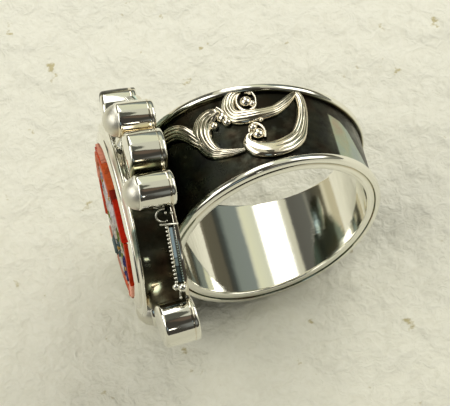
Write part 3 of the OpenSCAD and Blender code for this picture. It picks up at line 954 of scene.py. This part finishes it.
def lay_flower(shape, fx, fy, count, reach, width, tint):
    """Petals laid from short strips with dark joints between them, round a yellow middle."""
    for k in range(count):
        angle = 360 * k / count + 10
        for j, shares in enumerate(PETAL_STRIPS):
            r0 = PETAL_FROM + (reach - PETAL_FROM) * j / 3 + 0.03
            r1 = PETAL_FROM + (reach - PETAL_FROM) * (j + 1) / 3 - 0.03
            half = [min(0.86 * r * math.tan(pi / count) - 0.03, width / 2 * share)
                    for r, share in zip((r0, r1), shares)]
            for side in (-1, 1):
                strip = [(r0, 0.02 * side), (r1, 0.02 * side), (r1, half[1] * side), (r0, half[0] * side)]
                add_tile(shape, turned(strip[::side], angle, fx, fy),
                         MOSAIC_D + 0.1 + random.uniform(-0.03, 0.03), 0.035, tint, 0.2)
    r = 0.14 + 0.06 * reach
    middle = turned(ellipse_outline(r, r, 16), 0, fx, fy)
    add_tile(shape, middle, MOSAIC_D + 0.12, 0.08, YOLK)


def lay_leaf(shape, x, y, turn, length, width):
    for side in (-1, 1):
        half = [(-length / 2, 0.015 * side), (length / 2, 0.015 * side), (0.1, width / 2 * side)]
        add_tile(shape, turned(half[::side], turn, x, y), MOSAIC_D + 0.08, 0.03, LEAF_GREEN, 0.25)


def border_width(x, y):
    """How far the border reaches in beside a place in the oval."""
    turn = math.degrees(math.atan2(y / MOSAIC_B, x / MOSAIC_A)) % 360
    return max([width for start, end, width, _high, _tint in BORDER
                if start - 3 < turn < end + 3 or turn + 360 < end + 3] + [0.3])


def make_field():
    shape = Shape()
    # places that the ground leaves free: middle and reach
    busy = []
    for table, lay, share in ((FLOWERS, lay_flower, 0.86), (LEAVES, lay_leaf, 0.36)):
        for row in table:
            lay(shape, *row)
            busy.append((row[0], row[1], row[3] * share))
    for j in range(-14, 15):
        for i in range(-16, 17):
            x, y = (i + 0.5 * (j % 2)) * TILE_W, j * TILE_H
            width = border_width(x, y) + 0.2
            if math.hypot(x / (MOSAIC_A - width), y / (MOSAIC_B - width)) > 1:
                continue
            if any(math.hypot(x - bx, y - by) < br for bx, by, br in busy):
                continue
            w, h = 0.2 + random.uniform(-0.02, 0), 0.14 + random.uniform(-0.015, 0)
            tile = turned([(-w, -h), (w, -h), (w, h), (-w, h)], random.uniform(-6, 6), x, y)
            # the field sinks a little on the lower near side
            top = MOSAIC_D + random.uniform(-0.03, 0.02) - 0.06 * float(ease(y, 0.5, -2.5) * ease(x, -3, 0))
            add_tile(shape, tile, top, 0.03, random.choice(GROUND), 0.15)
    mosaic_object("mosaic_tesserae", shape, "mosaic_field")


random.seed(7)
make_border()
make_field()
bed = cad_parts["mosaic_bed"].data
bed.materials.clear()
bed.materials.append(CEMENT)


# Surroundings, light and camera

# the floor's half width in metres, and its colour from the near side to the far side, darker on the near
# side as painted shade where the light falls off
FLOOR_REACH = 1.5
FLOOR_PAINTED_SHADE = [(0.0, (0.61, 0.595, 0.485)), (0.3, (0.8, 0.785, 0.65)), (0.6, (0.84, 0.825, 0.69)),
                (1.0, (0.87, 0.855, 0.72))]


def foam_finish():
    """Pale pressed foam: soft cells, fine creases, a few small brown pits, and painted shade that darkens it
    to one corner.
    """
    material, tree = new_material("pale_foam")
    place = object_place(tree)
    wander = add_node(tree, "ShaderNodeTexNoise", Vector=place, Scale=420.0, Detail=3.0).outputs["Color"]
    shifted = math_node(tree, "MULTIPLY_ADD", wander, (0.004,) * 3, place, kind="ShaderNodeVectorMath")
    cells = add_node(tree, "ShaderNodeTexVoronoi", {"feature": "SMOOTH_F1"}, Vector=shifted, Scale=230.0,
                     Smoothness=0.35).outputs["Distance"]
    creases = noise(tree, place, 900.0, 5.0, Distortion=1.6)
    normal = bump(tree, cells, 0.5, -0.0012)
    normal = bump(tree, creases, 0.5, 0.0003, normal)
    normal = bump(tree, noise(tree, place, 4000.0, 3.0), 0.3, 0.00005, normal)

    # painted shade, darkest towards the near left corner
    across = add_node(tree, "ShaderNodeSeparateXYZ", Vector=place).outputs
    lean = math_node(tree, "MULTIPLY_ADD", across["X"], 0.3, across["Y"])
    shade = ramp(tree, map_range(tree, lean, -0.03, 0.03), FLOOR_PAINTED_SHADE)
    lines = ramp(tree, creases, [(0.3, (0.95, 0.945, 0.93)), (0.55, (1, 1, 1)), (0.75, (1.02, 1.02, 1.03))])
    spots = noise(tree, place, 330.0, 4.0, Roughness=0.6)
    pits = ramp(tree, spots, [(0.655, (1, 1, 1)), (0.7, (0.66, 0.6, 0.42))])
    colour = mix(tree, mix(tree, shade, lines, 1.0, "MULTIPLY"), pits, 1.0, "MULTIPLY")
    dress(tree, Base_Color=colour, Normal=normal, Roughness=0.95, Specular_IOR_Level=0.1)
    return material


def make_floor():
    mesh = bpy.data.meshes.new("foam_floor")
    corners = [(x * FLOOR_REACH, y * FLOOR_REACH, 0) for x, y in ((-1, -1), (1, -1), (1, 1), (-1, 1))]
    mesh.from_pydata(corners, [], [(0, 1, 2, 3)])
    mesh.materials.append(foam_finish())
    new_object("foam_floor", mesh)


make_floor()


def make_lamp(name, energy, width, towards):
    """A broad soft light that the silver does not mirror."""
    data = bpy.data.lights.new(name, "SUN")
    data.energy = energy
    data.angle = radians(width)
    data.color = (1, 0.99, 0.95)
    lamp = new_object(name, data)
    lamp.rotation_euler = Vector(towards).to_track_quat("Z", "Y").to_euler()
    lamp.visible_glossy = False


make_lamp("far_right_light", 1.65, 50, (0.6, 0.6, 0.5))
make_lamp("left_light", 1.0, 50, (-0.7, 0, 0.71))
make_lamp("fill_light", 1.55, 150, (0.05, -0.15, 0.98))


# What the polished silver mirrors on the far side, by the angle round the finger from straight up
FAR_SIDE = [
    (-90, (0.55, 0.5, 0.34)), (-80, (0.53, 0.48, 0.32)), (-75.5, (0.7, 0.66, 0.48)),
    (-73, (0.5, 0.46, 0.33)), (-71, (0.11, 0.1, 0.065)), (-58, (0.08, 0.076, 0.055)),
    (-52, (0.1, 0.098, 0.08)), (-49, (0.24, 0.235, 0.19)), (-46, (0.135, 0.135, 0.115)),
    (-28, (0.115, 0.112, 0.095)), (-25, (0.13, 0.128, 0.11)), (-23.5, (0.6, 0.58, 0.45)),
    (-17, (0.7, 0.68, 0.54)), (-14, (1.3, 1.3, 1.2)), (-12, (3.2, 3.2, 3.1)), (12, (3.2, 3.2, 3.1)),
    (15, (1.2, 1.2, 1.1)), (17, (0.68, 0.69, 0.54)), (31, (0.76, 0.76, 0.55)), (34, (0.55, 0.56, 0.45)),
    (36, (0.23, 0.26, 0.24)), (55, (0.22, 0.25, 0.22)), (59, (0.13, 0.15, 0.135)),
    (62, (0.06, 0.068, 0.06)), (67, (0.055, 0.056, 0.045)), (70, (0.11, 0.1, 0.07)),
    (86, (0.12, 0.11, 0.075)), (90, (0.3, 0.27, 0.2))]
# Panels as azimuth from the far side towards +x, elevation, soft edge, all in degrees, and colour
PANELS = [
    ((-180, 180), (-90, 90), 1, (0.62, 0.61, 0.5)),
    ((-180, -122), (-90, 24), 8, (0.2, 0.17, 0.11)),
    ((-122, -50), (-90, 24), 8, (0.5, 0.5, 0.45)),
    ((50, 180), (-90, 16), 8, (0.2, 0.2, 0.16)),
    ((-132, -62), (30, 62), 7, (2.6, 2.55, 2.35)),
    ((52, 112), (20, 52), 7, (2.6, 2.55, 2.35)),
    ((15, 180), (70.5, 91), 2, (0.1, 0.1, 0.08)),
]
# The same on the near side, where the azimuth runs on past 180: a dark room with a small lamp
NEAR_DARK = [
    ((128, 232), (-5, 73), 9, (0.052, 0.048, 0.04)),
    ((132, 152), (50, 66), 9, (0.13, 0.095, 0.07)),
    ((146, 162), (14, 34), 9, (0.2, 0.205, 0.19)),
    ((181, 200), (26, 42), 4, (0.24, 0.32, 0.36)),
    ((166, 170.5), (24.5, 29), 1.5, (4, 3.9, 3.4)),
]


def make_world():
    world = bpy.data.worlds.new("studio")
    bpy.context.scene.world = world
    world.use_nodes = True
    tree = world.node_tree
    towards = add_node(tree, "ShaderNodeTexCoord").outputs["Generated"]
    x, y, z = add_node(tree, "ShaderNodeSeparateXYZ", Vector=towards).outputs

    def degrees(operation, *values):
        return math_node(tree, "MULTIPLY", math_node(tree, operation, *values), 180 / pi)

    def soft_step(value, start, end):
        return map_range(tree, value, start, end, interpolation_type="SMOOTHSTEP")

    back_x, back_y = (math_node(tree, "MULTIPLY", value, -1.0) for value in (x, y))
    from_far = degrees("ARCTAN2", x, y)
    from_near = math_node(tree, "ADD", degrees("ARCTAN2", back_x, back_y), 180.0)
    elevation = degrees("ARCSINE", z)
    colour = (0.6, 0.6, 0.5, 1)
    for azimuth, panels in ((from_far, PANELS), (from_near, NEAR_DARK)):
        for turns, heights, edge, shade in panels:
            mask = 1.0
            for value, (low, high) in ((azimuth, turns), (elevation, heights)):
                for step in (soft_step(value, low - edge / 2, low + edge / 2),
                             soft_step(value, high + edge / 2, high - edge / 2)):
                    mask = math_node(tree, "MULTIPLY", mask, step)
            colour = mix(tree, colour, (*shade, 1), mask)
    # the far side's stripes, with one plain tone straight along the finger
    round_finger = map_range(tree, degrees("ARCTAN2", x, z), -90.0, 90.0)
    stripes = ramp(tree, round_finger, [((angle + 90) / 180, shade) for angle, shade in FAR_SIDE])
    colour = mix(tree, colour, stripes, soft_step(y, 0.3, 0.42))
    colour = mix(tree, colour, (0.2, 0.18, 0.13, 1), soft_step(y, 0.955, 0.975))

    # the camera itself sees a plain pale wall; the lamps alone light the rough surfaces
    seen = add_node(tree, "ShaderNodeLightPath").outputs["Is Camera Ray"]
    tree.links.new(mix(tree, colour, (0.8, 0.79, 0.65, 1), seen), tree.nodes["Background"].inputs["Color"])
    world.cycles_visibility.diffuse = False


make_world()


# The camera's lens and place in mm, and the way that the picture's right, its foot and the view point
CAMERA_LENS = 390.03
CAMERA_PLACE = (-12.61273, -235.51063, 363.1395)
CAMERA_RIGHT = (0.96564244, -0.22932743, -0.12224407)
CAMERA_DOWN = (-0.25853424, -0.80003182, -0.54139554)
CAMERA_FORWARD = (0.0263577, 0.55439879, -0.83183367)


def make_camera():
    data = bpy.data.cameras.new("camera")
    data.sensor_width = 36
    data.lens = CAMERA_LENS
    data.clip_start, data.clip_end = 0.01, 10
    camera = new_object("camera", data)
    turn = Matrix((CAMERA_RIGHT, -Vector(CAMERA_DOWN), -Vector(CAMERA_FORWARD))).transposed()
    camera.matrix_world = Matrix.Translation(Vector(CAMERA_PLACE) * MM) @ turn.to_4x4()
    bpy.context.scene.camera = camera
    bpy.context.scene.view_settings.view_transform = "Standard"


make_camera()
